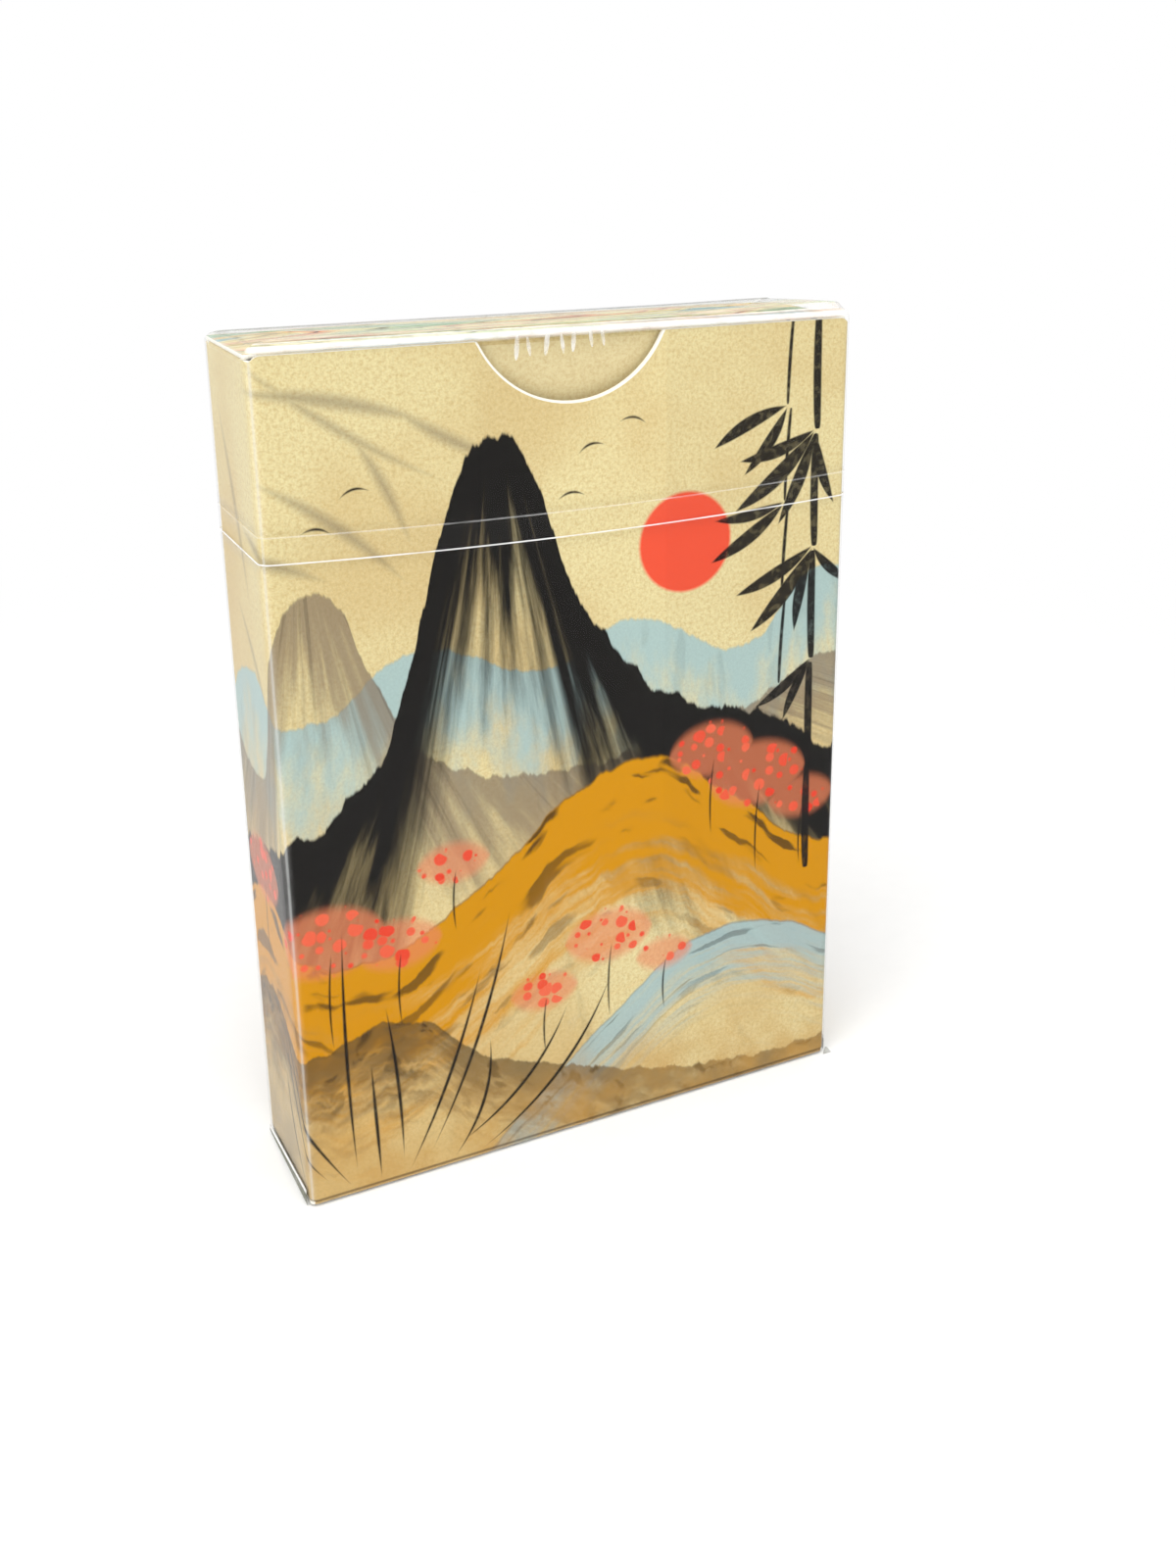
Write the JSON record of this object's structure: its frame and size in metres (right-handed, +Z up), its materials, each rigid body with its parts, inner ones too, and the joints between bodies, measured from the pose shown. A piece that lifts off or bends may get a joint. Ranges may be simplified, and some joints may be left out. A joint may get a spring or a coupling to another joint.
{
  "type": "playing card deck",
  "caption": "Poker-size deck of playing cards in a printed paperboard tuck case with a thumb notch, sealed in clear film with a tear tape.",
  "frame": {"origin": "centre of the wrapped deck's bottom face, where it stands", "axes": "+Z up towards the lid, -Y out of the front panel, X across the width"},
  "size_m": [0.0656, 0.017, 0.0913],
  "materials": {
    "printed_board": "satin",
    "clear_film": "gloss",
    "tear_tape": "gloss",
    "card_stock": "satin"
  },
  "bodies": {
    "film_sleeve": {"film_sleeve": "clear_film"},
    "case": {"carton_body": "printed_board"},
    "lid": {"lid_panel": "printed_board"},
    "tuck": {"tuck_flap": "printed_board"},
    "dust_left": {"dust_flap_left": "printed_board"},
    "dust_right": {"dust_flap_right": "printed_board"},
    "film_cap": {"film_cap": "clear_film"},
    "tear_tape": {"tear_tape": "tear_tape"},
    "deck": {"card_01": "card_stock", "card_02": "card_stock", "card_03": "card_stock", "card_04": "card_stock", "card_05": "card_stock", "card_06": "card_stock", "card_07": "card_stock", "card_08": "card_stock", "card_09": "card_stock", "card_10": "card_stock", "card_11": "card_stock", "card_12": "card_stock", "card_13": "card_stock", "card_14": "card_stock", "card_15": "card_stock", "card_16": "card_stock", "card_17": "card_stock", "card_18": "card_stock", "card_19": "card_stock", "card_20": "card_stock", "card_21": "card_stock", "card_22": "card_stock", "card_23": "card_stock", "card_24": "card_stock", "card_25": "card_stock", "card_26": "card_stock", "card_27": "card_stock", "card_28": "card_stock", "card_29": "card_stock", "card_30": "card_stock", "card_31": "card_stock", "card_32": "card_stock", "card_33": "card_stock", "card_34": "card_stock", "card_35": "card_stock", "card_36": "card_stock", "card_37": "card_stock", "card_38": "card_stock", "card_39": "card_stock", "card_40": "card_stock", "card_41": "card_stock", "card_42": "card_stock", "card_43": "card_stock", "card_44": "card_stock", "card_45": "card_stock", "card_46": "card_stock", "card_47": "card_stock", "card_48": "card_stock", "card_49": "card_stock", "card_50": "card_stock", "card_51": "card_stock", "card_52": "card_stock"}
  },
  "joints": [
    {"name": "case_slide", "type": "slide", "parent": "film_sleeve", "child": "case", "axis": [0, 0, 1], "range_m": [0, 0.07]},
    {"name": "lid_hinge", "type": "hinge", "parent": "case", "child": "lid", "pos_m": [0, 0.00829, 0.09115], "axis": [-1, 0, 0], "range_deg": [0, 150]},
    {"name": "tuck_hinge", "type": "hinge", "parent": "lid", "child": "tuck", "pos_m": [0, -0.00714, 0.09075], "axis": [-1, 0, 0], "range_deg": [-57.5, 0]},
    {"name": "dust_left_hinge", "type": "hinge", "parent": "case", "child": "dust_left", "pos_m": [-0.0326, 0, 0.0907], "axis": [0, -1, 0], "range_deg": [0, 98]},
    {"name": "dust_right_hinge", "type": "hinge", "parent": "case", "child": "dust_right", "pos_m": [0.0326, 0, 0.0907], "axis": [0, 1, 0], "range_deg": [0, 98]},
    {"name": "film_cap_slide", "type": "slide", "parent": "case", "child": "film_cap", "axis": [0, 0, 1], "range_m": [0, 0.0895]},
    {"name": "tear_tape_slide", "type": "slide", "parent": "case", "child": "tear_tape", "axis": [0, 0, 1], "range_m": [0, 0.079]},
    {"name": "deck_slide", "type": "slide", "parent": "case", "child": "deck", "axis": [0, 0, 1], "range_m": [0, 0.00707]}
  ],
  "couplings": [
    {"joint": "lid_hinge", "follows": "deck_slide", "rad_per_m": 370},
    {"joint": "tuck_hinge", "follows": "deck_slide", "rad_per_m": -140.6},
    {"joint": "dust_left_hinge", "follows": "deck_slide", "rad_per_m": 240.5},
    {"joint": "dust_right_hinge", "follows": "deck_slide", "rad_per_m": 240.5},
    {"joint": "film_cap_slide", "follows": "deck_slide", "ratio": 12.58},
    {"joint": "tear_tape_slide", "follows": "deck_slide", "ratio": 11.1}
  ]
}
